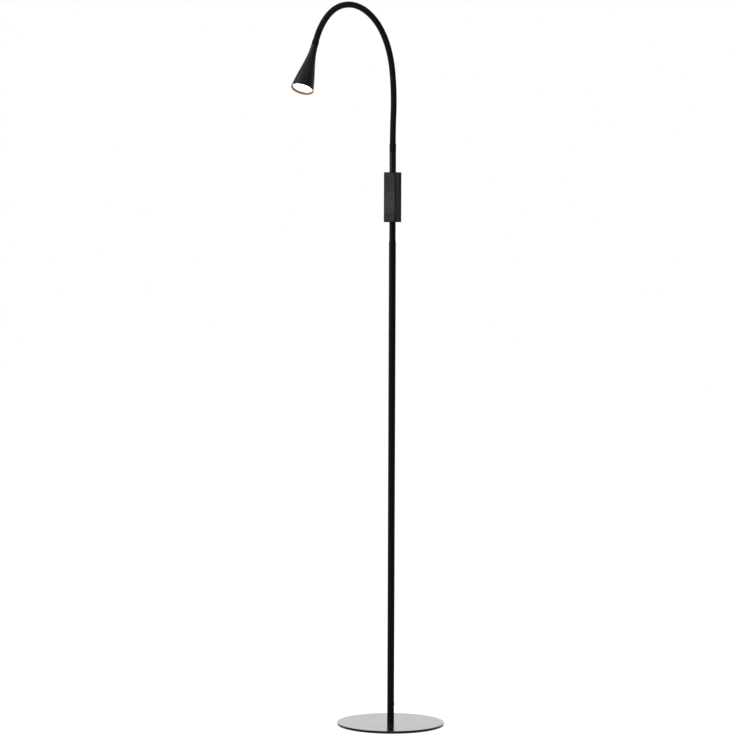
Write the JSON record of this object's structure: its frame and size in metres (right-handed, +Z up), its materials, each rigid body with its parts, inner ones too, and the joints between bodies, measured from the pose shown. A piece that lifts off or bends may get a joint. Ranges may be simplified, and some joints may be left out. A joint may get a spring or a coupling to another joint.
{
  "type": "gooseneck reading floor lamp",
  "caption": "Slim floor lamp with a round weighted base, a straight pole, a switch housing and a bendable neck that holds a small bell-shaped light over a page.",
  "frame": {"origin": "on the floor, under the centre of the round base", "axes": "+Z up along the pole; -Y is the front, where the neck bends over and the push button faces"},
  "size_m": [0.195, 0.426, 1.3022],
  "materials": {
    "base_paint": "gloss",
    "pole_paint": "gloss",
    "head_paint": "satin",
    "housing_plastic": "satin",
    "cap_plastic": "matte",
    "button_plastic": "satin",
    "bezel_metal": "satin",
    "indicator_plastic": "satin",
    "sleeve_rubber": "matte",
    "pad_foam": "matte",
    "turned_brass": "satin",
    "core_steel": "satin",
    "screw_steel": "satin",
    "blackened_steel": "satin",
    "sink_aluminium": "satin",
    "circuit_board": "satin",
    "light_board": "satin",
    "chip_plastic": "matte",
    "ferrite": "matte",
    "capacitor_can": "satin",
    "terminal_plastic": "satin",
    "lead_insulation": "satin",
    "phosphor": "satin",
    "reflector_white": "gloss",
    "opal_plastic": "satin"
  },
  "bodies": {
    "stand": {"base_pad": "pad_foam", "base_plate": "base_paint", "base_screw": "screw_steel", "bottom_end_cap": "cap_plastic", "button_bezel": "bezel_metal", "driver_board": "circuit_board", "driver_capacitor": "capacitor_can", "driver_chip": "chip_plastic", "driver_inductor": "ferrite", "end_cap_screws": "blackened_steel", "feed_leads": "lead_insulation", "grub_screws": "blackened_steel", "housing_body": "housing_plastic", "indicator_led": "opal_plastic", "indicator_lens": "indicator_plastic", "lower_pole": "pole_paint", "neck_core_root": "core_steel", "neck_leads": "lead_insulation", "neck_sleeve": "sleeve_rubber", "neck_tube": "pole_paint", "pole_foot_insert": "turned_brass", "pole_sockets": "turned_brass", "power_inlet": "chip_plastic", "push_switch": "chip_plastic", "root_ferrule": "pole_paint", "stub_tube": "pole_paint", "stub_tube_stud": "turned_brass", "top_end_cap": "cap_plastic", "upper_pole": "pole_paint", "upper_pole_stud": "turned_brass", "wire_terminals": "terminal_plastic"},
    "push_button": {"power_button": "button_plastic", "switch_plunger": "button_plastic"},
    "neck_01": {"neck_core_01": "core_steel"},
    "neck_02": {"neck_core_02": "core_steel"},
    "neck_03": {"neck_core_03": "core_steel"},
    "neck_04": {"neck_core_04": "core_steel"},
    "neck_05": {"neck_core_05": "core_steel"},
    "neck_06": {"neck_core_06": "core_steel"},
    "neck_07": {"neck_core_07": "core_steel"},
    "neck_08": {"neck_core_08": "core_steel"},
    "neck_09": {"neck_core_09": "core_steel"},
    "neck_10": {"neck_core_10": "core_steel"},
    "neck_11": {"neck_core_11": "core_steel"},
    "neck_12": {"neck_core_12": "core_steel"},
    "neck_13": {"neck_core_13": "core_steel"},
    "neck_14": {"neck_core_14": "core_steel"},
    "neck_15": {"neck_core_15": "core_steel"},
    "neck_16": {"neck_core_16": "core_steel"},
    "neck_17": {"neck_core_17": "core_steel"},
    "lamp_head": {"neck_core_tip": "core_steel", "head_ferrule": "turned_brass", "head_shell": "head_paint", "heat_sink": "sink_aluminium", "led_board": "light_board", "led_chip": "phosphor", "led_board_screws": "screw_steel", "reflector": "reflector_white", "diffuser": "opal_plastic", "diffuser_ring": "head_paint"}
  },
  "joints": [
    {"name": "neck_bend_root", "type": "hinge", "parent": "stand", "child": "neck_01", "pos_m": [0, 0.00012, 1.07165], "axis": [1, 0, 0], "range_deg": [-22, 16], "deforming": ["neck_sleeve", "neck_leads"]},
    {"name": "neck_sway_root", "type": "hinge", "parent": "neck_01", "child": "neck_02", "pos_m": [0, 0.00108, 1.09773], "axis": [0, 0.9985, -0.055], "range_deg": [-16, 16], "deforming": ["neck_sleeve", "neck_leads"]},
    {"name": "neck_bend_root_2", "type": "hinge", "parent": "neck_02", "child": "neck_03", "pos_m": [0, 0.00257, 1.12379], "axis": [1, 0, 0], "range_deg": [-22, 16], "deforming": ["neck_sleeve", "neck_leads"]},
    {"name": "neck_sway_root_2", "type": "hinge", "parent": "neck_03", "child": "neck_04", "pos_m": [0, 0.00212, 1.14987], "axis": [0, 0.998, 0.0628], "range_deg": [-16, 16], "deforming": ["neck_sleeve", "neck_leads"]},
    {"name": "neck_bend_root_3", "type": "hinge", "parent": "neck_04", "child": "neck_05", "pos_m": [0, -0.0007, 1.17581], "axis": [1, 0, 0], "range_deg": [-22, 16], "deforming": ["neck_sleeve", "neck_leads"]},
    {"name": "neck_sway_root_3", "type": "hinge", "parent": "neck_05", "child": "neck_06", "pos_m": [0, -0.00621, 1.2013], "axis": [0, 0.9553, 0.2957], "range_deg": [-16, 16], "deforming": ["neck_sleeve", "neck_leads"]},
    {"name": "neck_bend_middle", "type": "hinge", "parent": "neck_06", "child": "neck_07", "pos_m": [0, -0.01639, 1.22528], "axis": [-1, 0, 0], "range_deg": [-16, 22], "deforming": ["neck_sleeve", "neck_leads"]},
    {"name": "neck_sway_middle", "type": "hinge", "parent": "neck_07", "child": "neck_08", "pos_m": [0, -0.03119, 1.24673], "axis": [0, -0.7615, -0.6481], "range_deg": [-16, 16], "deforming": ["neck_sleeve", "neck_leads"]},
    {"name": "neck_bend_middle_2", "type": "hinge", "parent": "neck_08", "child": "neck_09", "pos_m": [0, -0.04999, 1.26476], "axis": [-1, 0, 0], "range_deg": [-16, 22], "deforming": ["neck_sleeve", "neck_leads"]},
    {"name": "neck_sway_middle_2", "type": "hinge", "parent": "neck_09", "child": "neck_10", "pos_m": [0, -0.07198, 1.27876], "axis": [0, -0.4625, -0.8866], "range_deg": [-16, 16], "deforming": ["neck_sleeve", "neck_leads"]},
    {"name": "neck_bend_middle_3", "type": "hinge", "parent": "neck_10", "child": "neck_11", "pos_m": [0, -0.09599, 1.28891], "axis": [-1, 0, 0], "range_deg": [-16, 22], "deforming": ["neck_sleeve", "neck_leads"]},
    {"name": "neck_sway_middle_3", "type": "hinge", "parent": "neck_11", "child": "neck_12", "pos_m": [0, -0.12133, 1.29504], "axis": [0, -0.1556, -0.9878], "range_deg": [-16, 16], "deforming": ["neck_sleeve", "neck_leads"]},
    {"name": "neck_bend_tip", "type": "hinge", "parent": "neck_12", "child": "neck_13", "pos_m": [0, -0.14733, 1.29699], "axis": [1, 0, 0], "range_deg": [-22, 16], "deforming": ["neck_sleeve", "neck_leads"]},
    {"name": "neck_sway_tip", "type": "hinge", "parent": "neck_13", "child": "neck_14", "pos_m": [0, -0.1733, 1.29472], "axis": [0, -0.1676, 0.9859], "range_deg": [-16, 16], "deforming": ["neck_sleeve", "neck_leads"]},
    {"name": "neck_bend_tip_2", "type": "hinge", "parent": "neck_14", "child": "neck_15", "pos_m": [0, -0.19852, 1.28814], "axis": [1, 0, 0], "range_deg": [-22, 16], "deforming": ["neck_sleeve", "neck_leads"]},
    {"name": "neck_sway_tip_2", "type": "hinge", "parent": "neck_15", "child": "neck_16", "pos_m": [0, -0.22188, 1.27659], "axis": [0, -0.5344, 0.8453], "range_deg": [-16, 16], "deforming": ["neck_sleeve", "neck_leads"]},
    {"name": "neck_bend_tip_3", "type": "hinge", "parent": "neck_16", "child": "neck_17", "pos_m": [0, -0.24232, 1.26045], "axis": [1, 0, 0], "range_deg": [-22, 16], "deforming": ["neck_sleeve", "neck_leads"]},
    {"name": "neck_sway_tip_3", "type": "hinge", "parent": "neck_17", "child": "lamp_head", "pos_m": [0, -0.25896, 1.2404], "axis": [0, -0.832, 0.5548], "range_deg": [-16, 16], "deforming": ["neck_sleeve", "neck_leads"]},
    {"name": "power_button_press", "type": "slide", "parent": "stand", "child": "push_button", "axis": [0, 1, 0], "range_m": [0, 0.0012], "stiffness_N_per_m": 800, "springref_m": -0.001}
  ],
  "couplings": [
    {"joint": "neck_bend_root_2", "follows": "neck_bend_root", "ratio": 1},
    {"joint": "neck_sway_root_2", "follows": "neck_sway_root", "ratio": 1},
    {"joint": "neck_bend_root_3", "follows": "neck_bend_root", "ratio": 1},
    {"joint": "neck_sway_root_3", "follows": "neck_sway_root", "ratio": 1},
    {"joint": "neck_bend_middle_2", "follows": "neck_bend_middle", "ratio": 1},
    {"joint": "neck_sway_middle_2", "follows": "neck_sway_middle", "ratio": 1},
    {"joint": "neck_bend_middle_3", "follows": "neck_bend_middle", "ratio": 1},
    {"joint": "neck_sway_middle_3", "follows": "neck_sway_middle", "ratio": 1},
    {"joint": "neck_bend_tip_2", "follows": "neck_bend_tip", "ratio": 1},
    {"joint": "neck_sway_tip_2", "follows": "neck_sway_tip", "ratio": 1},
    {"joint": "neck_bend_tip_3", "follows": "neck_bend_tip", "ratio": 1},
    {"joint": "neck_sway_tip_3", "follows": "neck_sway_tip", "ratio": 1}
  ]
}
